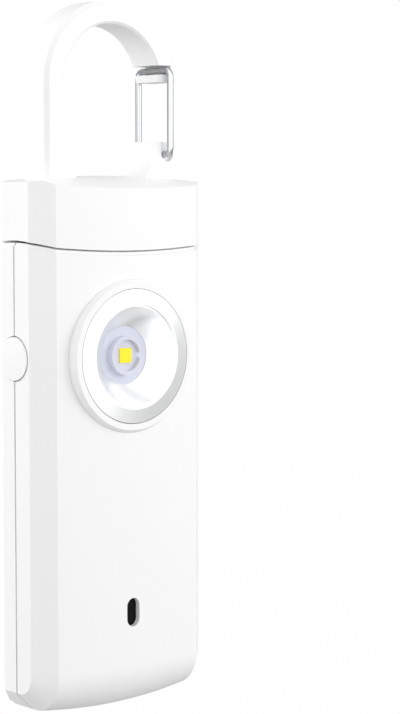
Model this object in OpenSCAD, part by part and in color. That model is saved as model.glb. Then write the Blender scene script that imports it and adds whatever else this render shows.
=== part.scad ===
// Personal safety alarm: a slim handheld siren with a torch.
// The cap carries a carabiner hook with a wire gate, and pulling the body off the cap sounds the siren.
// Origin at the centre of the hook's arch, +Z up, front towards -Y, parting plane of the body at Y = 0.

/* [Body] */
// Width across the side walls
body_w = 30; // [28:0.5:36]
// Length of the body, from the crest of the seam to the bottom
body_len = 64.65; // [62:0.05:75]
// Front of the body from the parting plane
front_y = 6.85; // [6.5:0.05:8]
// Flat rear face from the parting plane
rear_y = 5.2; // [5.2:0.1:7]
// Side wall in front of the parting plane
side_front = 3.3; // [3:0.1:3.6]
// Side wall behind the parting plane
side_rear = 2.7; // [2.4:0.05:3]
// Width of the long chamfers, across the front
chamfer_w = 2.65; // [2.4:0.05:3]
// Depth of the long chamfers, along the side
chamfer_d = 2.65; // [2.4:0.05:2.8]
// Radius of the crowned front face
crown_r = 85; // [60:1:140]
// Radius of the round at the bottom of the front
foot_r = 6.2; // [5.8:0.1:7]
// Bevel at the bottom of the rear face
rear_bevel = 2.2; // [1.2:0.1:2.5]
// Wall of the shells
wall = 1.6; // [1.4:0.1:1.8]
// Gap seen along the parting line
part_gap = 0.3; // [0.1:0.05:0.4]
// Reach of the tongue that laps the two shells
tongue_h = 1; // [0.6:0.1:1.4]

/* [Cap] */
// Height of the cap, from the crest of the seam to the crest of its top
cap_h = 9.45; // [8.8:0.05:14]
// Radius of the top from front to back
cap_top_r = 14; // [12:0.5:20]
// Radius of the top from side to side
cap_bow_r = 120; // [90:5:200]
// Radius of the seam from front to back
seam_r = 22; // [16:0.5:30]
// Radius of the seam from side to side, its ends higher than its middle
seam_bow_r = 280; // [240:10:600]
// Gap between the cap and the body
seam_gap = 0.3; // [0.25:0.05:0.5]
// Step under the seam: set back
step_in = 0.3; // [0.15:0.05:0.4]
// Step under the seam: height
step_h = 0.35; // [0.3:0.05:0.6]
// Wall of the cap
cap_wall = 1.8; // [1.4:0.1:2]
// Plate that closes the cap from below
plate_t = 1.5; // [1.2:0.1:2]

/* [Hook] */
// Inside radius of the arch
hook_r = 8.4; // [7:0.1:8.8]
// Width of the hook's bar
hook_t = 3.1; // [2.8:0.1:3.2]
// Depth of the hook's bar, front to back
hook_d = 5.6; // [5:0.1:6.4]
// Centre of the arch above the crest of the cap
hook_rise = 12.4; // [11.5:0.1:16]
// Bevel round the outside of the hook
hook_bevel = 0.55; // [0.3:0.05:0.7]
// Bevel round the inside of the hook
hook_inner_bevel = 0.3; // [0.1:0.05:0.4]
// Height of the gate's stub above the crest of the cap
stub_h = 4.8; // [4.5:0.05:5.5]
// Extra width of the stub towards the loop
stub_pad = 0.85; // [0.5:0.05:1]
// Centre of the lower curve of the loop, under the centre of the arch
loop_drop = 7.3; // [6:0.1:8]

/* [Gate] */
// Diameter of the gate's wire
wire_d = 0.9; // [0.7:0.05:1]
// Gap between the wire and the sides of the hook
wire_gap = 0.25; // [0.2:0.05:0.5]
// Wire's crossbar above the centre of the arch
latch_z = 2.4; // [2:0.1:3]
// Gate's pivot above the crest of the cap
pivot_h = 3.1; // [2.6:0.1:3.3]
// Slack of the notch round the crossbar, each side
notch_slack = 0.2; // [0.15:0.05:0.3]
// Height of the claw under the notch
claw_h = 1; // [0.8:0.1:1.2]
// Length of the wire's pivot inside the stub
pivot_len = 1.5; // [1:0.1:2]

/* [Torch] */
// Torch, button and switch below the crest of the seam
torch_drop = 15.25; // [15:0.05:17]
// Outside radius of the bezel
bezel_r = 10.55; // [10.3:0.05:10.7]
// Radius that the bezel's wall loses in its bevel, from the crest of the face to the lip
bezel_bevel = 0.4; // [0.2:0.05:0.5]
// Inside radius of the bezel
bezel_bore = 9.3; // [9.1:0.05:9.4]
// Front of the bezel from the parting plane
bezel_y = 7.5; // [7.3:0.05:7.7]
// Rim of the bowl: radius
bowl_r = 7.3; // [6.9:0.05:7.4]
// Rim of the bowl from the parting plane
bowl_y = 7.85; // [7.75:0.05:8.1]
// Opening at the bottom of the bowl, over the LED board
led_open_r = 4.05; // [3.8:0.05:4.4]
// Radius of the round LED board
led_board_r = 4.65; // [4.5:0.05:4.8]
// Face of the LED board from the parting plane
led_y = 4.85; // [4.85:0.05:5.3]
// Radius of the LED's round base
led_base_r = 2.7; // [2.4:0.1:3]
// Side of the square phosphor
phosphor_w = 2; // [1.6:0.1:2.6]
// Thickness of the clear window
window_t = 0.3; // [0.25:0.05:0.6]

/* [Button] */
// Radius of the side button
button_r = 2.95; // [2.7:0.05:3.2]
// Gap round the side button
button_gap = 0.15; // [0.1:0.01:0.2]
// How far the button stands out of the side wall
button_proud = 0.35; // [0.2:0.05:0.6]

/* [Siren] */
// Sound slot: width
slot_w = 2.2; // [1.6:0.1:2.6]
// Sound slot: length
slot_l = 4; // [3.4:0.1:5]
// Depth of the sound slot, down to its mesh
slot_deep = 0.8; // [0.6:0.05:1]
// Sound slot and siren above the bottom
slot_rise = 13.8; // [13.6:0.1:16]
// Radius of the siren's brass disc
disc_r = 9; // [8:0.1:9.3]

/* [Inside] */
// Radius of the pull stem
stem_r = 2.2; // [2:0.05:2.3]
// Length of the pull stem under its plate
stem_len = 9.4; // [8:0.1:9.6]
// Running clearance of the stem in its socket
stem_gap = 0.06; // [0.04:0.01:0.1]
// Thickness of the circuit board
board_t = 0.8; // [0.6:0.1:1]
// Front of the circuit board from the parting plane
board_y = 1.6; // [1.5:0.1:1.7]
// Width of the circuit board
board_w = 22; // [20:0.5:22]
// Battery: width
cell_w = 21; // [16:0.5:22]
// Battery: length
cell_l = 32; // [26:0.5:36]
// Battery: thickness
cell_t = 3.4; // [2.6:0.1:3.5]
// Width of the charging socket
port_w = 8.9; // [8.9:0.05:9]
// Depth of the charging socket's mouth
port_t = 3.2; // [3.1:0.05:3.3]

/* [Screws] */
// Radius of the screws' shanks
screw_r = 0.7; // [0.6:0.05:0.8]
// Radius of the screws' heads
head_r = 1.5; // [1.3:0.05:1.6]
// Height of the screws' heads
head_h = 1; // [0.8:0.1:1.1]

/* [Hidden] */
$fn = 96;
// Facets of the wide, shallow curves
wide_fn = 360;
// Reach of cutting blocks past what they cut
far = 60;
// Overlap that makes a cut clean
eps = 0.02;
// Slack between pieces that are fitted and stay put
fit = 0.05;

white = [0.95, 0.95, 0.95];
steel = [0.78, 0.79, 0.8];
brass = [0.8, 0.65, 0.3];
dark = [0.06, 0.06, 0.06];

// Levels along the length
cap_top_z = -hook_rise;
seam_z = cap_top_z - cap_h;
bottom_z = seam_z - body_len;
torch_z = seam_z - torch_drop;
siren_z = bottom_z + slot_rise;
stub_z = cap_top_z + stub_h;
pivot_z = cap_top_z + pivot_h;
plate_lift = 0.6;
plate_z = seam_z + plate_lift;

// Angle that the sweep of the seam covers
seam_sweep = 10;

// Axis that the front section turns about to form the foot
foot_y = foot_r - front_y;
foot_z = bottom_z + foot_r;
// How far the corner of an inset chamfer moves along the side wall
chamfer_len = sqrt(chamfer_w * chamfer_w + chamfer_d * chamfer_d);
chamfer_shift = (1 - chamfer_d / chamfer_len) / (chamfer_w / chamfer_len);
// Rear chamfer, from the side wall to the flat rear face
rear_d = rear_y - side_rear;
rear_len = sqrt(chamfer_w * chamfer_w + rear_d * rear_d);
rear_shift = (1 - rear_d / rear_len) / (chamfer_w / rear_len);

// Hook and gate
hook_out = hook_r + hook_t;
wire_r = wire_d / 2;
wire_y = hook_d / 2 + wire_gap + wire_r;
bend_r = 2 * wire_r;
notch_z = latch_z - wire_r - notch_slack;
notch_top = latch_z + wire_r + notch_slack;
nose_z = notch_z - claw_h;
// Wire's centre line across the hook's bar
wire_x = hook_r + hook_t * 0.4;
pocket_r = wire_d * 1.2;
pocket_d = 0.6;
// How far the flares of the loop sink into the legs
flare_bite = 0.5;

// Torch
seat_t = 0.9;
seat_rim = 0.5;
seat_y = front_y - wall - seat_t;
bezel_slack = 0.02;
bezel_flange_t = 0.8;
bezel_flange_w = 0.65;
bezel_ledge = 0.85;
bezel_back = seat_y - bezel_flange_t;
bezel_flange_r = bezel_r + bezel_flange_w;
reflector_lift = 0.5;
reflector_back = bezel_back + reflector_lift;
collar_gap = 0.1;
bowl_rim = 0.2;
window_r = bowl_r - bowl_rim;
window_front = bowl_y - fit;
window_back = window_front - window_t;
// Sphere that hollows the bowl, through the window's ledge and the edge of the LED board
window_ledge = 0.25;
bowl_edge_r = window_r - window_ledge;
led_lip = 0.1;
bowl_floor = led_y + led_lip;
bowl_c = (pow(bowl_edge_r, 2) - pow(led_open_r, 2) + pow(window_back, 2) - pow(bowl_floor, 2))
    / (2 * (window_back - bowl_floor));
bowl_sphere_r = sqrt(pow(bowl_edge_r, 2) + pow(bowl_c - window_back, 2));
led_board_t = 0.8;
led_base_h = 0.9;
led_floor = 0.3;
led_rim = 0.5;
led_notch = 0.9;
phosphor_t = 0.2;
led_pin_x = 1.6;
led_pin_r = 0.35;

// Button and switch
side_x = -body_w / 2;
flange_gap = 0.3;
flange_x = side_x + wall + flange_gap;
button_flange_t = 0.6;
button_flange_r = button_r + 0.7;
button_flange_w = 2 * side_rear - wall;
plunger_x = flange_x + button_flange_t;
switch_inset = 0.2;
switch_x = -board_w / 2 + switch_inset;
switch_w = 3;
switch_l = 4.5;
board_back = board_y - board_t;
switch_t = 2 * board_back;
plunger_w = 1.2;
plunger_in = 1;
plunger_slack = 0.08;
press_room = 0.7;

// Board, battery and charging socket
port_l = 7;
port_skin = 0.3;
port_slack = 0.12;
port_recess = 0.4;
port_base = 1;
port_tongue_t = 0.7;
port_y = port_t / 2 - board_back;
port_mouth = bottom_z + port_recess;
port_top = port_mouth + port_l;
board_over = 4.1;
board_top = torch_z + board_over;
neck_side = 2;
neck_gap = 1.2;
neck_w = port_w + 2 * neck_side;
board_neck = port_top + neck_gap;
board_end_gap = 0.8;
board_bottom = bottom_z + wall + board_end_gap;
// The battery lies midway between the switch and the charging socket
pad_t = 0.8;
cell_front = pad_t - board_back;
cell_z = (torch_z - switch_l / 2 + port_top) / 2;
cell_top = cell_z + cell_l / 2;
tab_x = 4;
tab_w = 2;
tab_t = 0.2;

// Siren
cup_wall = 1.2;
cup_r = disc_r + cup_wall;
rib_t = 1;
rib_h = 1.1;
cup_front = front_y - wall - rib_h;
disc_sink = 0.8;
disc_y = cup_front - disc_sink;
disc_t = 0.2;
disc_ledge = 0.8;
mesh_edge = 0.9;
mesh_r = slot_l / 2 + mesh_edge;
mesh_t = 0.25;
mesh_seat = front_y - slot_deep;

// Parts on the front of the board, midway between the torch and the siren
parts_z = (torch_z - bezel_flange_r + siren_z + cup_r) / 2;
chip_x = -4.5;
chip_w = 5;
chip_l = 4;
chip_t = 1.4;
coil_x = 5;
coil_r = 2.6;
coil_h = 2.4;
coil_flange = 0.5;
coil_groove = 0.6;
// Sensor on the rear of the board, under the tip of the stem
sensor_w = 3;
sensor_l = 1.4;
sensor_t = 1;
sensor_edge = 0.2;

// Stem and socket
bore_r = stem_r + stem_gap;
socket_wall = 0.75;
socket_r = bore_r + socket_wall;
socket_lip = 0.45;
socket_flange_r = socket_r + socket_lip;
socket_flange_t = 0.8;
socket_sink = 0.2;
stem_tip = plate_z - stem_len;
tip_gap = 0.4;
socket_floor = stem_tip - tip_gap;
socket_base = 0.9;
socket_end = socket_floor - socket_base;
flange_top = seam_z - seam_r + sqrt(pow(seam_r - wall, 2) - pow(socket_flange_r, 2)) - fit;
seal_r = 0.4;
seal_rise = 4.4;
seal_z = stem_tip + seal_rise;
groove_r = stem_r - 2 * seal_r - fit;
stem_skin = 0.7;
magnet_r = stem_r - stem_skin;
magnet_h = 2;

// Screws
shank_slack = 0.2;
head_slack = 0.15;
recess_w = 0.3;
pilot_gap = 0.3;
boss_wall = 0.6;
boss_r = head_r + boss_wall;
boss_gap = 0.3;
case_x = body_w / 2 - wall - boss_r - boss_gap;
case_drop = 3.7;
case_top_z = seam_z - case_drop;
case_foot_in = 0.9;
case_foot_x = case_x - case_foot_in;
case_rise = 5;
case_foot_z = bottom_z + case_rise;
case_pos = [
    [case_x, case_top_z], [-case_x, case_top_z], [case_foot_x, case_foot_z], [-case_foot_x, case_foot_z]
];
head_sink = 0.3;
head_seat_y = rear_y - head_h - head_sink;
case_bite = 3.4;
plate_screw_x = 8.5;
cap_tip_gap = 0.4;
cap_tip_z = cap_top_z - cap_wall - cap_tip_gap;

// Turns a shape so that its own +Z points to the front, centred at a height
module facing_front(z) {
    translate([0, 0, z])
        rotate([90, 0, 0])
            children();
}

// Turns a shape so that its own +Z points to +X
module along_x() {
    rotate([0, 90, 0])
        children();
}

// Half space behind (side = 1) or in front of (side = -1) a plane at y
module half(y, side) {
    translate([-far, side > 0 ? y : y - 2 * far, bottom_z - far])
        cube([2 * far, 2 * far, 4 * far]);
}

// Obround outline of a given width and length, long way up
module obround(w, l) {
    square([w, l - w], center = true);
    for (s = [-1, 1])
        translate([0, s * (l - w) / 2])
            circle(d = w);
}

// Cross-section of the front, inset by g: crowned face with a chamfer at each side.
// Heights are measured from the foot's axis.
module front_section(g) {
    half_w = body_w / 2 - g;
    side = side_front + foot_y - g * chamfer_shift;
    peak = side + half_w * chamfer_d / chamfer_w;
    intersection() {
        polygon([[-half_w, 0], [half_w, 0], [half_w, side], [0, peak], [-half_w, side]]);
        translate([0, foot_r - crown_r])
            circle(r = crown_r - g, $fn = wide_fn);
    }
}

// Limit of the rear, inset by g: flat face with a chamfer at each side
module rear_plan(g) {
    half_w = body_w / 2 - g;
    side = side_rear - g * rear_shift;
    back = rear_y - g;
    flat_w = half_w - (back - side) * chamfer_w / rear_d;
    polygon([
        [-half_w, -far], [half_w, -far], [half_w, side], [flat_w, back], [-flat_w, back], [-half_w, side]
    ]);
}

// Front section and rear block, from z0 to z1, inset by g
module slab(g, z0, z1) {
    intersection() {
        translate([0, 0, z0])
            linear_extrude(z1 - z0)
                union() {
                    translate([0, foot_y])
                        mirror([0, 1])
                            front_section(g);
                    translate([g - body_w / 2, foot_y])
                        square([body_w - 2 * g, rear_y - foot_y]);
                }
        translate([0, 0, z0 - 1])
            linear_extrude(z1 - z0 + 2)
                rear_plan(g);
    }
}

// Foot of the body, inset by g: the front section turned round under the body and run to the rear
module foot(g) {
    low = bottom_z + g;
    back = rear_y - g;
    bevel = rear_bevel - g * (2 - sqrt(2));
    intersection() {
        union() {
            translate([0, foot_y, foot_z])
                along_x()
                    rotate([0, 0, -90])
                        rotate_extrude(angle = 90)
                            mirror([1, -1])
                                front_section(g);
            translate([0, foot_y, foot_z])
                rotate([-90, 0, 0])
                    linear_extrude(rear_y - foot_y)
                        front_section(g);
        }
        translate([0, 0, bottom_z - 1])
            linear_extrude(foot_r + 2)
                rear_plan(g);
        translate([-far, 0, 0])
            rotate([90, 0, 90])
                linear_extrude(2 * far)
                    polygon([
                        [-far, low - 1], [back - bevel - 1, low - 1], [back, low + bevel], [back, foot_z + 1],
                        [-far, foot_z + 1]
                    ]);
    }
}

// Whole block of the body, inset by g, up to above the seam
module body_block(g) {
    slab(g, foot_z, seam_z + 1);
    foot(g);
}

// Everything under the curved seam, lowered by drop: a round swept along a wide arc from side to side
module under_seam(drop) {
    translate([0, 0, seam_z + seam_bow_r])
        rotate([-90, 90 - seam_sweep / 2, 0])
            rotate_extrude(angle = seam_sweep, $fn = 2 * wide_fn)
                translate([seam_bow_r + seam_r, 0])
                    circle(r = seam_r - drop, $fn = wide_fn);
    translate([-far, -seam_r + drop, bottom_z - far])
        cube([2 * far, 2 * (seam_r - drop), seam_z - seam_r - bottom_z + far]);
}

// Outside of the body, with the small step under the seam
module body_outside() {
    intersection() {
        body_block(0);
        under_seam(step_h);
    }
    intersection() {
        body_block(step_in);
        under_seam(0);
    }
}

// Room inside the shells
module body_room() {
    intersection() {
        body_block(wall);
        under_seam(wall);
    }
}

// Lap of the two shells at the parting plane
module tongue_ring(g) {
    intersection() {
        difference() {
            body_block(g);
            body_block(wall);
        }
        under_seam(g);
        translate([-far, -1.2 * tongue_h, bottom_z - far])
            cube([2 * far, 2.2 * tongue_h, 3 * far]);
    }
}

// Holes that pass through both shells at the parting plane
module shared_holes() {
    translate([side_x - 1, 0, torch_z])
        along_x()
            cylinder(r = button_r + button_gap, h = wall + 2);
    translate([0, 0, seam_z - 2 * wall])
        cylinder(r = socket_r + fit, h = 3 * wall);
    translate([0, port_y, bottom_z - 1])
        linear_extrude(2 * wall + 1)
            rotate(90)
                obround(port_t + 2 * port_slack, port_w + 2 * port_slack);
}

module front_cover() {
    color(white)
        difference() {
            union() {
                intersection() {
                    difference() {
                        body_outside();
                        body_room();
                    }
                    half(-part_gap / 2, -1);
                }
                tongue_ring(wall / 2 + fit);
                intersection() {
                    union() {
                        facing_front(torch_z)
                            translate([0, 0, seat_y])
                                cylinder(r = bezel_flange_r + seat_rim, h = front_y);
                        facing_front(siren_z)
                            translate([0, 0, cup_front])
                                difference() {
                                    cylinder(r = cup_r, h = front_y);
                                    translate([0, 0, -1])
                                        cylinder(r = cup_r - rib_t, h = front_y + 2);
                                }
                        for (p = case_pos)
                            translate([p[0], 0, 0])
                                facing_front(p[1])
                                    translate([0, 0, part_gap / 2])
                                        cylinder(r = boss_r, h = front_y);
                    }
                    body_block(wall / 2);
                }
            }
            facing_front(torch_z)
                cylinder(r = bezel_r + bezel_slack, h = 2 * front_y);
            facing_front(siren_z)
                linear_extrude(2 * front_y)
                    obround(slot_w, slot_l);
            facing_front(siren_z)
                cylinder(r = mesh_r + fit, h = mesh_seat);
            for (p = case_pos)
                translate([p[0], 0, 0])
                    facing_front(p[1])
                        cylinder(r = screw_r + eps, h = case_bite + pilot_gap);
            shared_holes();
        }
}

module rear_cover() {
    color(white)
        difference() {
            union() {
                intersection() {
                    difference() {
                        body_outside();
                        body_room();
                    }
                    half(part_gap / 2, 1);
                }
                intersection() {
                    for (p = case_pos)
                        translate([p[0], part_gap / 2, p[1]])
                            rotate([-90, 0, 0])
                                cylinder(r = boss_r, h = rear_y);
                    body_block(wall / 2);
                }
            }
            intersection() {
                body_block(wall / 2);
                under_seam(wall / 2);
                half(tongue_h + fit, -1);
            }
            for (p = case_pos)
                translate([p[0], 0, p[1]])
                    rotate([-90, 0, 0]) {
                        cylinder(r = screw_r + shank_slack, h = rear_y + 1);
                        translate([0, 0, head_seat_y])
                            cylinder(r = head_r + head_slack, h = rear_y);
                    }
            shared_holes();
        }
}

// Profile of the hook's bar: r is the distance from the arch's axis, y the depth
module hook_bar() {
    h = hook_d / 2;
    b = hook_bevel;
    c = hook_inner_bevel;
    polygon([
        [hook_r, c - h], [hook_r + c, -h], [hook_out - b, -h], [hook_out, b - h],
        [hook_out, h - b], [hook_out - b, h], [hook_r + c, h], [hook_r, h - c]
    ]);
}

// Foot of one leg, flared into the cap by the lower curve of the loop, moved in by pad
module leg_flare(side, pad, top) {
    difference() {
        translate([side > 0 ? 0 : -hook_r - flare_bite, -hook_d / 2, cap_top_z - cap_wall])
            cube([hook_r + flare_bite, hook_d, top - cap_top_z + cap_wall]);
        translate([-side * pad, hook_d, -loop_drop])
            rotate([90, 0, 0])
                cylinder(r = hook_r, h = 2 * hook_d);
    }
}

module hook() {
    leg = hook_rise + cap_wall;
    difference() {
        union() {
            rotate([90, 0, 0])
                rotate_extrude(angle = 180)
                    hook_bar();
            translate([0, 0, -leg])
                linear_extrude(leg + eps)
                    mirror([1, 0])
                        hook_bar();
            translate([0, 0, -leg])
                linear_extrude(stub_z + leg)
                    hook_bar();
            leg_flare(-1, 0, -loop_drop);
            leg_flare(1, stub_pad, stub_z);
        }
        // Open end of the arch, with the claw left below the notch
        translate([0, -hook_d, stub_z])
            cube([2 * hook_out, 2 * hook_d, nose_z - stub_z]);
        translate([0, -hook_d, notch_z])
            cube([wire_x + wire_r + notch_slack, 2 * hook_d, notch_top - notch_z]);
        // Pivot holes and the pockets round the wire's ends
        for (s = [-1, 1])
            translate([wire_x, s * hook_d / 2, pivot_z])
                rotate([s * 90, 0, 0]) {
                    cylinder(r = wire_r + fit, h = pivot_len + wire_gap);
                    translate([0, 0, -1]) {
                        cylinder(r = pocket_r, h = 1 + pocket_d);
                        translate([-pocket_r, s > 0 ? 0 : -2 * stub_h, 0])
                            cube([2 * pocket_r, 2 * stub_h, 1 + pocket_d]);
                    }
                }
    }
}

// Block of the cap, inset by g, down past the seam
module cap_block(g) {
    intersection() {
        slab(g, seam_z - 3, cap_top_z + 1);
        translate([-far, 0, cap_top_z - cap_top_r])
            along_x()
                cylinder(r = cap_top_r - g, h = 2 * far, $fn = wide_fn);
        translate([0, far, cap_top_z - cap_bow_r])
            rotate([90, 0, 0])
                cylinder(r = cap_bow_r - g, h = 2 * far, $fn = wide_fn);
    }
}

module pull_cap() {
    color(white)
        difference() {
            union() {
                difference() {
                    cap_block(0);
                    cap_block(cap_wall);
                }
                hook();
                intersection() {
                    for (s = [-1, 1])
                        translate([s * plate_screw_x, 0, plate_z + plate_t])
                            cylinder(r = boss_r, h = cap_h);
                    cap_block(cap_wall / 2);
                }
            }
            under_seam(-seam_gap);
            for (s = [-1, 1])
                translate([s * plate_screw_x, 0, plate_z])
                    cylinder(r = screw_r + eps, h = cap_tip_z - plate_z + pilot_gap);
        }
}

module stem_plate() {
    color(white)
        difference() {
            union() {
                intersection() {
                    cap_block(cap_wall + fit);
                    translate([-far, -far, plate_z])
                        cube([2 * far, 2 * far, plate_t]);
                }
                translate([0, 0, stem_tip])
                    cylinder(r = stem_r, h = stem_len + eps);
            }
            translate([0, 0, seal_z - seal_r - fit])
                difference() {
                    cylinder(r = 2 * stem_r, h = 2 * (seal_r + fit));
                    translate([0, 0, -1])
                        cylinder(r = groove_r, h = 2 * (seal_r + fit) + 2);
                }
            translate([0, 0, stem_tip - 1])
                cylinder(r = magnet_r + eps, h = magnet_h + 1);
            for (s = [-1, 1])
                translate([s * plate_screw_x, 0, plate_z - 1]) {
                    cylinder(r = screw_r + shank_slack, h = plate_t + 2);
                    cylinder(r = head_r + head_slack, h = 1 + head_h);
                }
        }
}

module stem_seal() {
    color(dark)
        translate([0, 0, seal_z])
            rotate_extrude()
                translate([groove_r + eps + seal_r, 0])
                    circle(r = seal_r, $fn = 48);
}

module stem_magnet() {
    color(steel)
        translate([0, 0, stem_tip])
            cylinder(r = magnet_r, h = magnet_h);
}

// Pan-head screw with a cross recess, head down, shank up along +Z from z = 0
module screw(len) {
    difference() {
        union() {
            cylinder(r = head_r, h = head_h);
            cylinder(r = screw_r, h = len);
        }
        for (a = [0, 90])
            rotate(a)
                translate([-recess_w / 2, -head_r * 0.6, -1])
                    cube([recess_w, head_r * 1.2, 1 + head_h / 2]);
    }
}

module cap_screws() {
    color(steel)
        for (s = [-1, 1])
            translate([s * plate_screw_x, 0, plate_z])
                screw(cap_tip_z - plate_z);
}

module case_screws() {
    color(steel)
        for (p = case_pos)
            translate([p[0], head_seat_y + head_h, p[1]])
                rotate([90, 0, 0])
                    screw(head_seat_y + head_h + case_bite);
}

// Quarter bend of the wire, turned by a in the gate's plane
module gate_bend(a) {
    rotate([90, 0, 90])
        rotate(a)
            rotate_extrude(angle = 90)
                translate([bend_r, 0])
                    circle(r = wire_r, $fn = 48);
}

// One leg of the gate, from its bend at the crossbar to its pivot in the stub
module gate_leg() {
    translate([wire_x, -wire_y, pivot_z + bend_r])
        cylinder(r = wire_r, h = latch_z - pivot_z - 2 * bend_r, $fn = 48);
    translate([wire_x, bend_r - wire_y, latch_z - bend_r])
        gate_bend(90);
    translate([wire_x, bend_r - wire_y, pivot_z + bend_r])
        gate_bend(180);
    translate([wire_x, bend_r - wire_y, pivot_z])
        rotate([-90, 0, 0])
            cylinder(r = wire_r, h = pivot_len + wire_gap + wire_r - bend_r, $fn = 48);
}

module gate_wire() {
    color(steel) {
        gate_leg();
        mirror([0, 1, 0])
            gate_leg();
        translate([wire_x, 0, latch_z])
            rotate([90, 0, 0])
                cylinder(r = wire_r, h = 2 * (wire_y - bend_r), center = true, $fn = 48);
    }
}

module lens_bezel() {
    color(white)
        facing_front(torch_z)
            rotate_extrude()
                difference() {
                    polygon([
                        [0, bezel_back], [bezel_flange_r, bezel_back], [bezel_flange_r, seat_y],
                        [bezel_r, seat_y], [bezel_r, front_y], [bezel_r - bezel_bevel, bezel_y], [0, bezel_y]
                    ]);
                    square_to(bezel_bore, reflector_back, bezel_y + 1);
                    square_to(bezel_bore - bezel_ledge, bezel_back - 1, bezel_y);
                }
}

// Rectangle from the axis to r, between heights y0 and y1
module square_to(r, y0, y1) {
    translate([0, y0])
        square([r, y1 - y0]);
}

module reflector() {
    r = bezel_bore - collar_gap;
    color([0.9, 0.91, 0.92])
        facing_front(torch_z)
            rotate_extrude()
                difference() {
                    polygon([
                        [led_board_r + fit, reflector_back], [r, reflector_back], [r, bezel_y],
                        [bowl_r, bowl_y], [window_r + fit, bowl_y], [window_r + fit, window_back],
                        [led_open_r, window_back], [led_open_r, led_y], [led_board_r + fit, led_y]
                    ]);
                    translate([0, bowl_c])
                        circle(r = bowl_sphere_r, $fn = 180);
                }
}

module lens_window() {
    color([0.9, 0.95, 1, 0.3])
        facing_front(torch_z)
            translate([0, 0, window_back])
                cylinder(r = window_r, h = window_t);
}

module led_board() {
    color([0.86, 0.87, 0.97])
        facing_front(torch_z)
            translate([0, 0, led_y - led_board_t])
                cylinder(r = led_board_r, h = led_board_t);
}

module led_base() {
    well_r = led_base_r - led_rim;
    color([0.88, 0.88, 0.95])
        facing_front(torch_z)
            translate([0, 0, led_y])
                difference() {
                    cylinder(r = led_base_r, h = led_base_h);
                    translate([0, 0, led_floor])
                        cylinder(r = well_r, h = led_base_h);
                    translate([well_r - eps, -led_notch / 2, led_floor])
                        cube([2 * led_rim, led_notch, led_base_h]);
                }
}

module led_phosphor() {
    color([1, 0.93, 0.1])
        facing_front(torch_z)
            translate([-phosphor_w / 2, -phosphor_w / 2, led_y + led_floor])
                cube([phosphor_w, phosphor_w, phosphor_t]);
}

module led_pins() {
    color(brass)
        for (s = [-1, 1])
            translate([s * led_pin_x, 0, 0])
                facing_front(torch_z)
                    translate([0, 0, board_y])
                        cylinder(r = led_pin_r, h = led_y - led_board_t - board_y);
}

// Push button with a low dome, half of what stands out, and a flange behind the side wall
module side_button() {
    face = side_x - button_proud;
    dome_h = button_proud / 2;
    dome_r = (button_r * button_r + dome_h * dome_h) / (2 * dome_h);
    color(white)
        translate([0, 0, torch_z])
            along_x() {
                intersection() {
                    translate([0, 0, face])
                        cylinder(r = button_r, h = flange_x - face + eps);
                    translate([0, 0, face + dome_r])
                        sphere(r = dome_r, $fn = 200);
                }
                intersection() {
                    translate([0, 0, flange_x])
                        cylinder(r = button_flange_r, h = button_flange_t);
                    translate([-far, -button_flange_w / 2, -far])
                        cube([2 * far, button_flange_w, 2 * far]);
                }
            }
}

module switch_plunger() {
    color(dark)
        translate([plunger_x, -plunger_w / 2, torch_z - plunger_w / 2])
            cube([switch_x + plunger_in - plunger_x, plunger_w, plunger_w]);
}

module tact_switch() {
    hole_w = plunger_w + 2 * plunger_slack;
    color(steel)
        difference() {
            translate([switch_x, -board_back, torch_z - switch_l / 2])
                cube([switch_w, switch_t, switch_l]);
            translate([switch_x - 1, -hole_w / 2, torch_z - hole_w / 2])
                cube([1 + plunger_in + press_room, hole_w, hole_w]);
        }
}

module main_board() {
    color([0.1, 0.35, 0.2])
        translate([0, -board_back, 0])
            rotate([90, 0, 0])
                linear_extrude(board_t)
                    polygon([
                        [-board_w / 2, board_top], [board_w / 2, board_top], [board_w / 2, board_neck],
                        [neck_w / 2, board_neck], [neck_w / 2, board_bottom], [-neck_w / 2, board_bottom],
                        [-neck_w / 2, board_neck], [-board_w / 2, board_neck]
                    ]);
}

module controller_chip() {
    color(dark)
        translate([chip_x - chip_w / 2, -board_y - chip_t, parts_z - chip_l / 2])
            cube([chip_w, chip_t, chip_l]);
}

module boost_coil() {
    color([0.35, 0.25, 0.2])
        translate([coil_x, 0, 0])
            facing_front(parts_z)
                translate([0, 0, board_y])
                    rotate_extrude()
                        difference() {
                            square([coil_r, coil_h]);
                            translate([coil_r - coil_groove, coil_flange])
                                square([2 * coil_groove, coil_h - 2 * coil_flange]);
                        }
}

module pull_sensor() {
    color(dark)
        translate([-sensor_w / 2, -board_back, board_top - sensor_edge - sensor_l])
            cube([sensor_w, sensor_t, sensor_l]);
}

// Blind socket for the stem, with a flange under the top of the shells
module pin_socket() {
    color(white)
        difference() {
            union() {
                translate([0, 0, socket_end])
                    cylinder(r = socket_r, h = seam_z - socket_sink - socket_end);
                translate([0, 0, flange_top - socket_flange_t])
                    cylinder(r = socket_flange_r, h = socket_flange_t);
            }
            translate([0, 0, socket_floor])
                cylinder(r = bore_r, h = far);
        }
}

module battery_cell() {
    r = cell_t / 2;
    color([0.75, 0.77, 0.8])
        translate([0, cell_front + r, cell_top - cell_l])
            linear_extrude(cell_l)
                rotate(90)
                    obround(cell_t, cell_w);
}

module battery_pad() {
    color([0.9, 0.9, 0.85])
        translate([-cell_w * 0.38, -board_back, cell_top - cell_l * 0.85])
            cube([cell_w * 0.76, pad_t, cell_l * 0.7]);
}

module battery_tabs() {
    color(steel)
        for (s = [-1, 1])
            translate([s * tab_x - tab_w / 2, -board_back, cell_top])
                cube([tab_w, board_back + cell_front + cell_t / 2, tab_t]);
}

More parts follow.
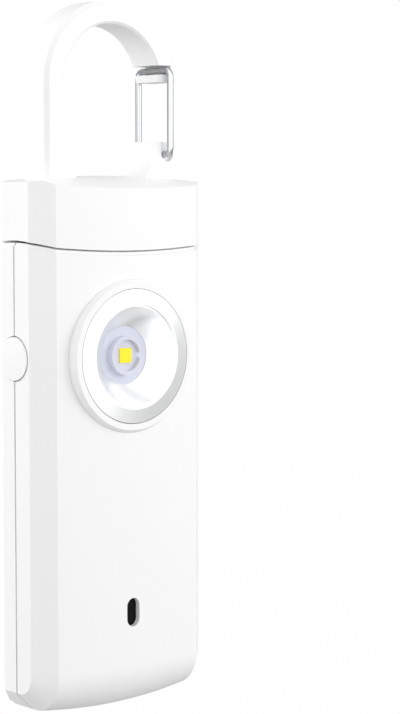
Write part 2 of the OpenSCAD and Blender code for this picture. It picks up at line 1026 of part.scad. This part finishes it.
// Charging socket: metal sleeve with a contact tongue on a back block
module charge_port() {
    color(steel)
        translate([0, port_y, port_mouth]) {
            linear_extrude(port_l)
                difference() {
                    rotate(90)
                        obround(port_t, port_w);
                    rotate(90)
                        obround(port_t - 2 * port_skin, port_w - 2 * port_skin);
                }
            translate([0, 0, port_l - port_base])
                linear_extrude(port_base)
                    rotate(90)
                        obround(port_t - port_skin, port_w - port_skin);
            translate([-port_w * 0.37, -port_tongue_t / 2, port_base])
                cube([port_w * 0.74, port_tongue_t, port_l - 1.5 * port_base]);
        }
}

module siren_disc() {
    color(brass)
        facing_front(siren_z)
            translate([0, 0, disc_y])
                cylinder(r = disc_r, h = disc_t);
}

module siren_ceramic() {
    color([0.92, 0.9, 0.85])
        facing_front(siren_z)
            translate([0, 0, disc_y - disc_t])
                cylinder(r = disc_r * 0.7, h = disc_t);
}

module siren_cup() {
    color(dark)
        facing_front(siren_z)
            rotate_extrude()
                difference() {
                    square_to(cup_r, board_y, cup_front);
                    square_to(disc_r + fit, disc_y, cup_front + 1);
                    square_to(disc_r - disc_ledge, board_y - 1, cup_front);
                }
}

module sound_mesh() {
    color(dark)
        facing_front(siren_z)
            translate([0, 0, mesh_seat - mesh_t])
                cylinder(r = mesh_r, h = mesh_t);
}

pull_cap();
stem_plate();
stem_seal();
stem_magnet();
cap_screws();
gate_wire();
front_cover();
rear_cover();
lens_bezel();
reflector();
lens_window();
led_board();
led_base();
led_phosphor();
led_pins();
side_button();
switch_plunger();
tact_switch();
main_board();
controller_chip();
boost_coil();
pull_sensor();
pin_socket();
battery_cell();
battery_pad();
battery_tabs();
charge_port();
siren_disc();
siren_ceramic();
siren_cup();
sound_mesh();
case_screws();
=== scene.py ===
"""Finishes and studio for a slim white personal alarm with a torch and a carabiner hook."""

import math

import bmesh
import bpy
from bpy.props import FloatProperty, FloatVectorProperty, PointerProperty
from mathutils import Matrix, Vector


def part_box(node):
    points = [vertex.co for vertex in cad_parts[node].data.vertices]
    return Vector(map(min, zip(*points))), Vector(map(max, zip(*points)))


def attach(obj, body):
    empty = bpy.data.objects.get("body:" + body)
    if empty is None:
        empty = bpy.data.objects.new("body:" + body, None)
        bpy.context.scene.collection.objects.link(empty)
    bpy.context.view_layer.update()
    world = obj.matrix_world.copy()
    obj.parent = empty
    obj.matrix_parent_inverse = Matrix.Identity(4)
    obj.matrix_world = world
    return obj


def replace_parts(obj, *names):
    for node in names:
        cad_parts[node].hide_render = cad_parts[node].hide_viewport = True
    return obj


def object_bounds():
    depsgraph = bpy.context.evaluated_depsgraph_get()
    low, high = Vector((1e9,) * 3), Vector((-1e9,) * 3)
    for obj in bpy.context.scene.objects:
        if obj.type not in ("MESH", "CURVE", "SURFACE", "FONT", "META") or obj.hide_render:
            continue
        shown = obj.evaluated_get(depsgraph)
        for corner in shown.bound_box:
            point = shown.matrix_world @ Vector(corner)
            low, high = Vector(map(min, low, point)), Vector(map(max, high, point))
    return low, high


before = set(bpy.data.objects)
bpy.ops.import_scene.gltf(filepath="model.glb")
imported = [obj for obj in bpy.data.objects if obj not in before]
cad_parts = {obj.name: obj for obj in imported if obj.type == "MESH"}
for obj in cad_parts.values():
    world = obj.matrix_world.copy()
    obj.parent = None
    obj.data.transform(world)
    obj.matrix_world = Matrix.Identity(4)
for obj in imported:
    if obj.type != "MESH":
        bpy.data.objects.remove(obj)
cad_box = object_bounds()

bl_info = {
    "name": "Personal Alarm Finishes",
    "version": (1, 0, 0),
    "blender": (4, 5, 0),
    "location": "View3D > Sidebar > Alarm",
    "description": "Finishes every piece of a slim personal alarm and sets up its studio",
    "category": "Material",
}

WHITE = (1.0, 1.0, 1.0, 1.0)
ROUND_STEPS = 128  # sides of a round piece
FLOOR_STEPS = 64  # sides of the floor
FLOOR_GREY = 0.56  # level of the floor's own colour, which lights the alarm from below
FLOOR_WHITE = 0.985  # share of plain white in the floor that the camera sees
SENSOR_WIDTH = 36.0  # in millimetres
CLIP_NEAR = 0.01
CLIP_FAR = 20.0
DIMMEST = 0.05  # least light from any side of the surround
CONTACTS = 8  # gilt contacts on each face of the port's tongue
WAVE_STEP = 0.314  # scale of a wave texture that gives one strand to each unit


def colour_property(name, description, default):
    return FloatVectorProperty(
        name=name, description=description, default=default, size=3, min=0.0, max=1.0,
        subtype="COLOR",
    )


def length_property(name, description, default, high):
    return FloatProperty(
        name=name, description=description, default=default, min=0.0, max=high, precision=5,
        unit="LENGTH",
    )


def place_property(name, description, default):
    return FloatVectorProperty(
        name=name, description=description, default=default, size=3, precision=5,
        subtype="TRANSLATION",
    )


def level_property(name, description, default):
    return FloatProperty(
        name=name, description=description, default=default, min=0.0, max=4.0, subtype="FACTOR"
    )


class AlarmColours(bpy.types.PropertyGroup):
    """Colours of the alarm's finishes."""

    shell: colour_property("Shell", "White of the moulded shells", (0.92, 0.92, 0.92))
    inner: colour_property("Inner mouldings", "White of the mouldings inside", (0.84, 0.84, 0.83))
    reflector: colour_property("Reflector", "Collar and bowl of the torch", (0.93, 0.935, 0.94))
    window: colour_property("Window", "Faint haze of the clear window", (0.6, 0.62, 0.64))
    led_board: colour_property("LED board", "Pale mask of the round LED board", (0.67, 0.7, 0.81))
    led_package: colour_property("LED package", "Raised base of the LED", (0.7, 0.715, 0.82))
    phosphor: colour_property("Phosphor", "Square chip of the LED", (1.0, 0.85, 0.02))
    wire: colour_property("Wire", "Bright wire of the gate", (0.56, 0.57, 0.59))
    plated: colour_property("Plated metal", "Screws, port and tabs", (0.62, 0.63, 0.65))
    brass: colour_property("Brass", "Siren disc and pins", (0.72, 0.5, 0.2))
    gilt: colour_property("Gilt", "Contacts of the charging port", (0.85, 0.62, 0.25))
    board: colour_property("Circuit board", "Mask of the main board", (0.02, 0.16, 0.07))
    tin: colour_property("Tin", "Tinned dots of the main board", (0.7, 0.7, 0.68))
    foil: colour_property("Foil", "Wrap of the battery", (0.7, 0.71, 0.73))
    foam: colour_property("Foam", "Pad under the battery", (0.72, 0.71, 0.64))
    foam_spot: colour_property("Foam spots", "Open cells of the pad", (0.6, 0.59, 0.52))
    ceramic: colour_property("Ceramic", "Fired layer of the siren", (0.78, 0.74, 0.64))
    ceramic_spot: colour_property("Ceramic spots", "Grains of that layer", (0.7, 0.66, 0.56))
    ferrite: colour_property("Ferrite", "Pressed core of the coil", (0.06, 0.05, 0.045))
    ferrite_spot: colour_property("Ferrite spots", "Grains of the core", (0.12, 0.1, 0.09))
    rubber: colour_property("Rubber", "Seal of the stem", (0.02, 0.02, 0.02))
    black: colour_property("Black", "Mesh, chips and siren cup", (0.012, 0.012, 0.013))


class AlarmSizes(bpy.types.PropertyGroup):
    """Scale of the textures, and sizes of the pieces made here."""

    grain: length_property("Mould grain", "Size of the shells' fine grain", 0.00022, 0.002)
    mesh_pitch: length_property(
        "Mesh pitch", "Distance between the strands of the sound mesh", 0.0003, 0.001
    )
    window_gap: length_property(
        "Window gap", "Space between the clear window and its seat", 0.00002, 0.0002
    )
    window_ease: length_property("Window ease", "Eased edge of the clear window", 0.00005, 0.0005)
    contact_pitch: length_property(
        "Contact pitch", "Distance between two contacts of the port", 0.0007, 0.002
    )
    contact_out: length_property(
        "Contact place", "Contacts out from the middle of the port's tongue", 0.00036, 0.002
    )
    contact_up: length_property(
        "Contact height", "Middle of the contacts over the port's mouth", 0.0024, 0.008
    )
    contact_ease: length_property("Contact ease", "Eased edges of a contact", 0.00002, 0.0001)
    contact_size: place_property(
        "Contact", "Width, thickness and length of a contact", (0.00034, 0.00006, 0.0022)
    )


class AlarmStudio(bpy.types.PropertyGroup):
    """Places of the floor, camera and key light, and levels of the light all round."""

    floor_drop: length_property(
        "Floor drop", "Floor under the lowest point of the alarm", 0.045, 0.5
    )
    floor_radius: length_property("Floor radius", "Radius of the round floor", 0.6, 5.0)
    camera_place: place_property("Camera", "Place of the camera", (-0.17314, -0.21851, -0.0156))
    camera_tilt: FloatProperty(
        name="Camera tilt", description="Camera turned up from straight down",
        default=math.radians(85.476), subtype="ANGLE",
    )
    camera_turn: FloatProperty(
        name="Camera turn", description="Camera turned about the vertical",
        default=math.radians(-41.215), subtype="ANGLE",
    )
    camera_lens: FloatProperty(
        name="Lens", description="Focal length on a 36 mm sensor", default=100.75, min=10.0,
        max=300.0, unit="CAMERA",
    )
    key_power: FloatProperty(
        name="Key light", description="Power of the soft key light", default=3.85, min=0.0,
        max=10.0, subtype="POWER",
    )
    key_width: length_property("Key width", "Width of the round key light", 0.88, 5.0)
    key_target: place_property("Key target", "Point that the key light faces", (0.0, 0.0, -0.04))
    key_away: place_property("Key place", "Key light as seen from its target", (1.04, -1.2, 0.4))
    horizon: level_property("Horizon", "Level of the light at eye height", 1.55)
    zenith_fall: level_property("Zenith fall", "Light lost from the horizon to the zenith", 0.96)
    ground_fall: level_property("Ground fall", "Light lost from the horizon to straight down", 0.6)
    left_glow: level_property("Left glow", "Extra light from the left of the view", 1.1)
    right_glow: level_property("Right glow", "Extra light from the right of the view", 0.7)
    front_fall: level_property("Front fall", "Light lost from behind the camera", 0.61)
    back_fall: level_property("Back fall", "Light lost from behind the alarm", 1.34)


class Socket:
    """A shader value that takes part in Python sums. Each sum adds a Math node."""

    def __init__(self, shader, output):
        self.shader = shader
        self.output = output

    def maths(self, operation, first, second):
        return self.shader.node("ShaderNodeMath", {"operation": operation}, {0: first, 1: second})

    def __add__(self, other):
        return self.maths("ADD", self, other)

    __radd__ = __add__

    def __sub__(self, other):
        return self.maths("SUBTRACT", self, other)

    def __rsub__(self, other):
        return self.maths("SUBTRACT", other, self)

    def __mul__(self, other):
        return self.maths("MULTIPLY", self, other)

    __rmul__ = __mul__

    def at_least(self, other):
        return self.maths("MAXIMUM", self, other)

    def over(self, other):
        return self.maths("GREATER_THAN", self, other)

    def between(self, low, high):
        """Goes from low to high where this value goes from 0 to 1."""
        return self * (high - low) + low

    def swing(self, width):
        """Swings about nothing by a width where this value goes from 0 to 1."""
        return (self - 0.5) * width


class Shader:
    """Builds the nodes of a material or of the world."""

    def __init__(self, owner):
        owner.use_nodes = True
        self.tree = owner.node_tree
        self.tree.nodes.clear()

    def node(self, kind, settings=None, inputs=None, out=0):
        """Adds a node: its settings first, then the values or links of its sockets."""
        made = self.tree.nodes.new(kind)
        for name, value in (settings or {}).items():
            setattr(made, name, value)
        for name, value in (inputs or {}).items():
            if isinstance(value, Socket):
                self.tree.links.new(value.output, made.inputs[name])
            else:
                made.inputs[name].default_value = value
        return Socket(self, made.outputs[out]) if made.outputs else None

    def place(self):
        return self.node("ShaderNodeTexCoord", out="Object")

    def spread(self, scale, turn=(0.0, 0.0, 0.0)):
        """The place on the piece, scaled and turned."""
        return self.node(
            "ShaderNodeMapping",
            inputs={"Vector": self.place(), "Scale": scale, "Rotation": turn},
        )

    def noise(self, size, detail=2.0, stretch=None):
        place = self.spread(stretch) if stretch else self.place()
        return self.node(
            "ShaderNodeTexNoise", inputs={"Vector": place, "Scale": 1.0 / size, "Detail": detail}
        )

    def mix(self, factor, first, second):
        return self.node(
            "ShaderNodeMix", {"data_type": "RGBA"}, {0: factor, 6: first, 7: second}, out=2
        )

    def tint(self, pattern, colour, share, level):
        """A colour that goes by a share of the pattern to a level of itself."""
        return self.mix(pattern * share, rgba(colour), rgba(colour, level))

    def bump(self, height, depth, strength):
        return self.node(
            "ShaderNodeBump", inputs={"Height": height, "Distance": depth, "Strength": strength}
        )

    def along(self, way, direction):
        """How far a direction of the surround points along another."""
        return self.node(
            "ShaderNodeVectorMath", {"operation": "DOT_PRODUCT"}, {0: way, 1: direction},
            out="Value",
        )

    def rise(self, value, start, end, low, high):
        """A smooth step from low to high as the value goes from start to end."""
        return self.node(
            "ShaderNodeMapRange", {"interpolation_type": "SMOOTHSTEP"},
            {"Value": value, "From Min": start, "From Max": end, "To Min": low, "To Max": high},
        )

    def surface(self, **sockets):
        """Ends the material. An underscore stands for a space in a socket's name."""
        shade = self.node(
            "ShaderNodeBsdfPrincipled",
            inputs={name.replace("_", " "): value for name, value in sockets.items()},
        )
        self.node("ShaderNodeOutputMaterial", inputs={"Surface": shade})


def colours():
    return bpy.context.scene.alarm_colours


def sizes():
    return bpy.context.scene.alarm_sizes


def studio():
    return bpy.context.scene.alarm_studio


def rgba(colour, level=1.0):
    return (colour[0] * level, colour[1] * level, colour[2] * level, 1.0)


def new_finish(name):
    material = bpy.data.materials.new(name)
    return material, Shader(material)


def dress(material, *nodes):
    """Gives a finish to CAD nodes by name."""
    for name in nodes:
        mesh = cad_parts[name].data
        mesh.materials.clear()
        mesh.materials.append(material)


def moulded(name, colour, rough, grain, depth, shine=0.5):
    """Moulded plastic: faint clouding of the colour, a fine grain, and gloss that follows both."""
    material, shader = new_finish(name)
    cloud = shader.noise(size=0.012, detail=3.0)
    fine = shader.noise(size=grain)
    shader.surface(
        Base_Color=shader.tint(cloud, colour, share=0.5, level=0.985),
        Roughness=fine.swing(width=0.12) + cloud.swing(width=0.06) + rough,
        Normal=shader.bump(fine, depth, strength=0.35),
        Specular_IOR_Level=shine,
    )
    return material


def metal(name, colour, rough, stretch, depth):
    """Drawn or plated metal: fine lines along the stretch, and a little unevenness in the gloss."""
    material, shader = new_finish(name)
    lines = shader.noise(size=0.0004, detail=3.0, stretch=stretch)
    patch = shader.noise(size=0.004)
    shader.surface(
        Base_Color=shader.tint(patch, colour, share=0.6, level=0.9),
        Metallic=1.0,
        Roughness=lines.swing(width=0.12) + patch.swing(width=0.08) + rough,
        Normal=shader.bump(lines, depth, strength=0.3),
    )
    return material


def speckled(name, colour, spot, size, rough):
    """Pressed or fired stuff: small spots of another colour and a rough skin."""
    material, shader = new_finish(name)
    grains = shader.node(
        "ShaderNodeTexVoronoi", inputs={"Vector": shader.place(), "Scale": 1.0 / size}
    )
    skin_size, skin_depth = size * 0.7, size * 0.08
    skin = shader.noise(skin_size, detail=3.0)
    spot_start, spot_share = 0.3, 0.8
    spots = (grains - spot_start).at_least(0.0) * spot_share
    shader.surface(
        Base_Color=shader.mix(spots, rgba(colour), rgba(spot)),
        Roughness=skin * 0.15 + rough,
        Normal=shader.bump(skin, skin_depth, strength=0.5),
    )
    return material


def mesh_piece(name, build, material, body):
    """A piece made in mesh code that rides on a body."""
    mesh = bpy.data.meshes.new(name)
    form = bmesh.new()
    build(form)
    form.to_mesh(mesh)
    form.free()
    piece = bpy.data.objects.new(name, mesh)
    bpy.context.scene.collection.objects.link(piece)
    mesh.materials.append(material)
    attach(piece, body)
    return piece


class ALARM_OT_shells(bpy.types.Operator):
    """Finish the white cap, covers, bezel and button"""

    bl_idname = "alarm.shells"
    bl_label = "Shells"

    def execute(self, context):
        grain = sizes().grain
        dress(
            moulded(
                "white_shell", colours().shell, rough=0.42, grain=grain, depth=0.000012, shine=0.3
            ),
            "pull_cap", "front_cover", "rear_cover", "lens_bezel", "side_button",
        )
        dress(
            moulded("white_inner", colours().inner, rough=0.5, grain=grain, depth=0.00002),
            "stem_plate", "pin_socket",
        )
        return {"FINISHED"}


class ALARM_OT_gate(bpy.types.Operator):
    """Finish the bright wire of the hook's gate"""

    bl_idname = "alarm.gate"
    bl_label = "Gate wire"

    def execute(self, context):
        dress(
            metal(
                "chrome_wire", colours().wire, rough=0.18, stretch=(6.0, 1.0, 0.3), depth=0.000004
            ),
            "gate_wire",
        )
        return {"FINISHED"}


class ALARM_OT_torch(bpy.types.Operator):
    """Finish the reflector, its clear window and the LED"""

    bl_idname = "alarm.torch"
    bl_label = "Torch"

    def execute(self, context):
        dress(self.mirror(), "reflector")
        self.window()
        dress(
            moulded("led_white", colours().led_board, rough=0.5, grain=0.00015, depth=0.00001),
            "led_board",
        )
        dress(
            moulded("led_package", colours().led_package, rough=0.4, grain=0.0002, depth=0.00001),
            "led_base",
        )
        dress(self.phosphor(), "led_phosphor")
        dress(
            metal(
                "contact_brass", colours().brass, rough=0.3, stretch=(1.0, 1.0, 1.0), depth=0.00001
            ),
            "led_pins", "siren_disc",
        )
        return {"FINISHED"}

    def mirror(self):
        """Metal-coated moulding: a soft mirror with a faint ripple."""
        material, shader = new_finish("reflector_white")
        ripple = shader.noise(size=0.0012)
        shader.surface(
            Base_Color=shader.tint(ripple, colours().reflector, share=0.5, level=0.97),
            Metallic=0.7,
            Roughness=ripple.between(low=0.26, high=0.34),
            Normal=shader.bump(ripple, depth=0.00001, strength=0.04),
        )
        return material

    def window(self):
        """Clear disc with eased edges, held a hair off its seat in the mouth of the bowl."""
        low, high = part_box("lens_window")
        gap = sizes().window_gap
        radius = (high.x - low.x) / 2 - gap
        depth = high.y - low.y - gap
        middle = (low + high) / 2 - Vector((0.0, gap / 2, 0.0))

        def disc(form):
            turned = Matrix.Translation(middle) @ Matrix.Rotation(math.radians(90), 4, "X")
            bmesh.ops.create_cone(
                form, cap_ends=True, segments=ROUND_STEPS, radius1=radius, radius2=radius,
                depth=depth, matrix=turned,
            )
            ends = [face for face in form.faces if len(face.verts) == ROUND_STEPS]
            rims = [edge for face in ends for edge in face.edges]
            bmesh.ops.bevel(
                form, geom=rims, offset=sizes().window_ease, segments=2, profile=0.5,
                affect="EDGES",
            )

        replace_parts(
            mesh_piece("window_disc", disc, self.clear(), "housing"), "lens_window"
        )

    def clear(self):
        """Clear plastic with the faintest haze."""
        material, shader = new_finish("clear_window")
        haze = shader.noise(size=0.002, detail=3.0)
        shader.surface(
            Base_Color=rgba(colours().window),
            Roughness=haze.between(low=0.03, high=0.07),
            Alpha=haze.between(low=0.01, high=0.03),
        )
        return material

    def phosphor(self):
        """Matt yellow grains, with a faint painted glow in the chip's own yellow."""
        material, shader = new_finish("phosphor_yellow")
        grains = shader.noise(size=0.00012, detail=3.0)
        shader.surface(
            Base_Color=shader.tint(grains, colours().phosphor, share=0.3, level=0.85),
            Roughness=grains.between(low=0.6, high=0.8),
            Normal=shader.bump(grains, depth=0.00002, strength=0.5),
            Specular_IOR_Level=0.2,
            # painted glow: a faint emission in the chip's own yellow makes it brighter than the
            # light on it would
            Emission_Color=rgba(colours().phosphor),
            Emission_Strength=0.1,
        )
        return material


class ALARM_OT_siren(bpy.types.Operator):
    """Finish the sound mesh, the siren and its cup, and the black plastic of the board"""

    bl_idname = "alarm.siren"
    bl_label = "Siren"

    def execute(self, context):
        dress(self.woven(), "sound_mesh")
        dress(
            moulded("black_plastic", colours().black, rough=0.5, grain=0.0003, depth=0.00002),
            "siren_cup", "switch_plunger", "controller_chip", "pull_sensor",
        )
        dress(
            speckled(
                "ceramic_pale", colours().ceramic, colours().ceramic_spot, size=0.0003, rough=0.5
            ),
            "siren_ceramic",
        )
        return {"FINISHED"}

    def woven(self):
        """Black mesh: two sets of strands that cross, with painted shade in the openings between
        them.
        """
        material, shader = new_finish("mesh_black")
        spread = shader.spread((1.0 / sizes().mesh_pitch,) * 3)
        across, upright = (
            shader.node(
                "ShaderNodeTexWave", {"bands_direction": direction},
                {"Vector": spread, "Scale": WAVE_STEP},
            )
            for direction in ("X", "Z")
        )
        weave = across.at_least(upright)
        # painted shade: the openings between the strands are coloured darker than the strands, since
        # the mesh has no real holes
        painted_gap_shade, strand_level = 0.15, 0.6
        shader.surface(
            Base_Color=shader.mix(
                weave, rgba(colours().black, painted_gap_shade), rgba(colours().black, strand_level)
            ),
            Roughness=weave.between(low=0.8, high=0.7),
            Normal=shader.bump(weave, depth=0.00008, strength=0.6),
            Specular_IOR_Level=0.1,
        )
        return material


class ALARM_OT_inside(bpy.types.Operator):
    """Finish the board, battery, port, seal and screws"""

    bl_idname = "alarm.inside"
    bl_label = "Inside"

    def execute(self, context):
        dress(
            metal(
                "bright_metal", colours().plated, rough=0.26, stretch=(1.0, 1.0, 4.0),
                depth=0.000006,
            ),
            "stem_magnet", "tact_switch", "battery_tabs", "charge_port",
        )
        dress(
            metal(
                "screw_steel", colours().plated, rough=0.3, stretch=(3.0, 3.0, 3.0),
                depth=0.000008,
            ),
            "cap_screws", "case_screws",
        )
        dress(self.circuit(), "main_board")
        dress(
            metal(
                "foil_silver", colours().foil, rough=0.36, stretch=(1.0, 1.0, 0.2), depth=0.00003
            ),
            "battery_cell",
        )
        dress(
            speckled("foam_pale", colours().foam, colours().foam_spot, size=0.0004, rough=0.75),
            "battery_pad",
        )
        dress(
            speckled(
                "ferrite_dark", colours().ferrite, colours().ferrite_spot, size=0.0002, rough=0.5
            ),
            "boost_coil",
        )
        dress(
            moulded("black_rubber", colours().rubber, rough=0.6, grain=0.0002, depth=0.00002),
            "stem_seal",
        )
        self.contacts()
        return {"FINISHED"}

    def circuit(self):
        """Green mask over traces, with tinned dots among them."""
        material, shader = new_finish("board_green")
        per_metre, dot_size = 420.0, 0.16
        spread = shader.spread((per_metre, 1.0, per_metre), turn=(math.radians(90), 0.0, 0.0))
        traces = shader.node(
            "ShaderNodeTexBrick", {"offset": 0.35},
            {
                "Vector": spread, "Scale": 1.0, "Mortar Size": 0.05, "Brick Width": 1.3,
                "Row Height": 0.45,
            },
            out="Fac",
        )
        dots = shader.node(
            "ShaderNodeTexVoronoi", inputs={"Vector": spread, "Scale": 0.9, "Randomness": 0.4}
        )
        pads = 1.0 - dots.over(dot_size)
        mask = shader.tint(traces, colours().board, share=0.6, level=1.9)
        shader.surface(
            Base_Color=shader.mix(pads, mask, rgba(colours().tin)),
            Metallic=pads,
            Roughness=traces.between(low=0.35, high=0.45),
            Normal=shader.bump(traces, depth=0.00003, strength=0.5),
        )
        return material

    def contacts(self):
        """Rows of gilt contacts on both faces of the port's tongue."""
        low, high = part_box("charge_port")
        middle = (low + high) / 2
        gilt = metal(
            "gilt_contacts", colours().gilt, rough=0.2, stretch=(1.0, 1.0, 4.0), depth=0.000003
        )

        def rows(form):
            shape = Matrix.Diagonal((*sizes().contact_size, 1.0))
            for face in (-1, 1):
                for step in range(CONTACTS):
                    x = (step - (CONTACTS - 1) / 2) * sizes().contact_pitch
                    y = middle.y + face * sizes().contact_out
                    z = low.z + sizes().contact_up
                    bmesh.ops.create_cube(
                        form, size=1.0, matrix=Matrix.Translation((x, y, z)) @ shape
                    )
            bmesh.ops.bevel(
                form, geom=form.edges[:], offset=sizes().contact_ease, segments=1, affect="EDGES"
            )

        mesh_piece("port_contacts", rows, gilt, "housing")


class ALARM_OT_stage(bpy.types.Operator):
    """Set up the floor, the light and the camera"""

    bl_idname = "alarm.stage"
    bl_label = "Stage"

    def execute(self, context):
        self.camera(context.scene)
        self.floor(context.scene)
        self.key(context.scene)
        self.surround(context.scene)
        context.scene.view_settings.view_transform = "Standard"
        return {"FINISHED"}

    def camera(self, scene):
        lens = bpy.data.cameras.new("camera")
        lens.lens = studio().camera_lens
        lens.sensor_width = SENSOR_WIDTH
        lens.clip_start = CLIP_NEAR
        lens.clip_end = CLIP_FAR
        camera = bpy.data.objects.new("camera", lens)
        camera.location = studio().camera_place
        camera.rotation_euler = (studio().camera_tilt, 0.0, studio().camera_turn)
        scene.collection.objects.link(camera)
        scene.camera = camera

    def floor(self, scene):
        """Pale round floor, nearly white to the camera and clear from below. Mirrors miss it."""
        mesh = bpy.data.meshes.new("floor")
        form = bmesh.new()
        bmesh.ops.create_circle(
            form, cap_ends=True, segments=FLOOR_STEPS, radius=studio().floor_radius
        )
        form.to_mesh(mesh)
        form.free()
        floor = bpy.data.objects.new("floor", mesh)
        floor.location.z = cad_box[0].z - studio().floor_drop
        scene.collection.objects.link(floor)
        material, shader = new_finish("floor_pale")
        seen = shader.node("ShaderNodeLightPath", out="Is Camera Ray")
        matt = shader.node("ShaderNodeBsdfDiffuse", inputs={"Color": rgba(WHITE, FLOOR_GREY)})
        white = shader.node("ShaderNodeEmission", inputs={"Color": WHITE, "Strength": 1.0})
        shade = shader.node("ShaderNodeMixShader", inputs={0: seen * FLOOR_WHITE, 1: matt, 2: white})
        underside = shader.node("ShaderNodeNewGeometry", out="Backfacing")
        clear = shader.node("ShaderNodeBsdfTransparent")
        shade = shader.node("ShaderNodeMixShader", inputs={0: underside, 1: shade, 2: clear})
        shader.node("ShaderNodeOutputMaterial", inputs={"Surface": shade})
        mesh.materials.append(material)
        floor.visible_glossy = False

    def key(self, scene):
        """Soft round lamp at the right of the view, a little over the alarm."""
        lamp = bpy.data.lights.new("key", "AREA")
        lamp.shape = "DISK"
        lamp.size = studio().key_width
        lamp.energy = studio().key_power
        key = bpy.data.objects.new("key", lamp)
        away = Vector(studio().key_away)
        key.location = Vector(studio().key_target) + away
        key.rotation_euler = (-away).to_track_quat("-Z", "Y").to_euler()
        scene.collection.objects.link(key)

    def surround(self, scene):
        """Soft light all round. The camera sees it as white, and mirrors see steps of their own."""
        world = scene.world or bpy.data.worlds.new("studio")
        scene.world = world
        shader = Shader(world)
        way = shader.node("ShaderNodeTexCoord", out="Generated")
        turn = studio().camera_turn
        view = shader.along(way, (math.sin(turn), -math.cos(turn), 0.0))
        side = shader.along(way, (math.cos(turn), math.sin(turn), 0.0))
        height = shader.along(way, (0.0, 0.0, 1.0))
        room = self.room(view, side, height)
        mirrored = self.mirrored(shader, view, side, height)
        glossy = shader.node("ShaderNodeLightPath", out="Is Glossy Ray")
        camera = shader.node("ShaderNodeLightPath", out="Is Camera Ray")
        clear = shader.node("ShaderNodeLightPath", out="Is Transmission Ray")
        seen = camera.at_least(clear)
        light = glossy * mirrored + (1.0 - glossy) * room
        strength = seen + (1.0 - seen) * light
        glow = shader.node("ShaderNodeBackground", inputs={"Color": WHITE, "Strength": strength})
        shader.node("ShaderNodeOutputWorld", inputs={"Surface": glow})

    def room(self, view, side, height):
        """Light on plain surfaces: most at eye height and from the two sides of the view."""
        front = view.at_least(0.0)
        back = (0.0 - view).at_least(0.0)
        right = side.at_least(0.0)
        left = (0.0 - side).at_least(0.0)
        level = studio().horizon - height.at_least(0.0) * studio().zenith_fall
        level = level - (0.0 - height).at_least(0.0) * studio().ground_fall
        level = level + right * right * studio().right_glow + left * left * studio().left_glow
        level = level - front * front * studio().front_fall - back * back * studio().back_fall
        return level.at_least(DIMMEST)

    def mirrored(self, shader, view, side, height):
        """Light that mirrors see: bright behind the camera, with a shade low on the right."""
        shade = shader.rise(side, start=0.05, end=0.35, low=0.0, high=0.5)
        shade = shade * shader.rise(height, start=-0.25, end=-0.45, low=0.0, high=1.0)
        front = shader.rise(view, start=-0.1, end=0.5, low=0.5, high=1.8) * (1.0 - shade)
        back = shader.rise(view, start=-0.88, end=-0.97, low=0.0, high=0.1)
        top = shader.rise(height, start=0.3, end=0.6, low=0.0, high=0.2)
        return front + back + top


class ALARM_PT_panel(bpy.types.Panel):
    """Lists the steps of the alarm's looks"""

    bl_idname = "ALARM_PT_panel"
    bl_label = "Personal alarm"
    bl_space_type = "VIEW_3D"
    bl_region_type = "UI"
    bl_category = "Alarm"

    def draw(self, context):
        for step in STEPS:
            self.layout.operator(step.bl_idname)
        for group in (colours(), sizes(), studio()):
            for name in group.__annotations__:
                self.layout.prop(group, name)


STEPS = (
    ALARM_OT_shells,
    ALARM_OT_gate,
    ALARM_OT_torch,
    ALARM_OT_siren,
    ALARM_OT_inside,
    ALARM_OT_stage,
)
CLASSES = (AlarmColours, AlarmSizes, AlarmStudio, *STEPS, ALARM_PT_panel)


def register():
    for made in CLASSES:
        bpy.utils.register_class(made)
    bpy.types.Scene.alarm_colours = PointerProperty(type=AlarmColours)
    bpy.types.Scene.alarm_sizes = PointerProperty(type=AlarmSizes)
    bpy.types.Scene.alarm_studio = PointerProperty(type=AlarmStudio)


def unregister():
    del bpy.types.Scene.alarm_studio
    del bpy.types.Scene.alarm_sizes
    del bpy.types.Scene.alarm_colours
    for made in reversed(CLASSES):
        bpy.utils.unregister_class(made)


def main():
    register()
    for step in STEPS:
        group, name = step.bl_idname.split(".")
        getattr(getattr(bpy.ops, group), name)()


if __name__ == "__main__":
    main()
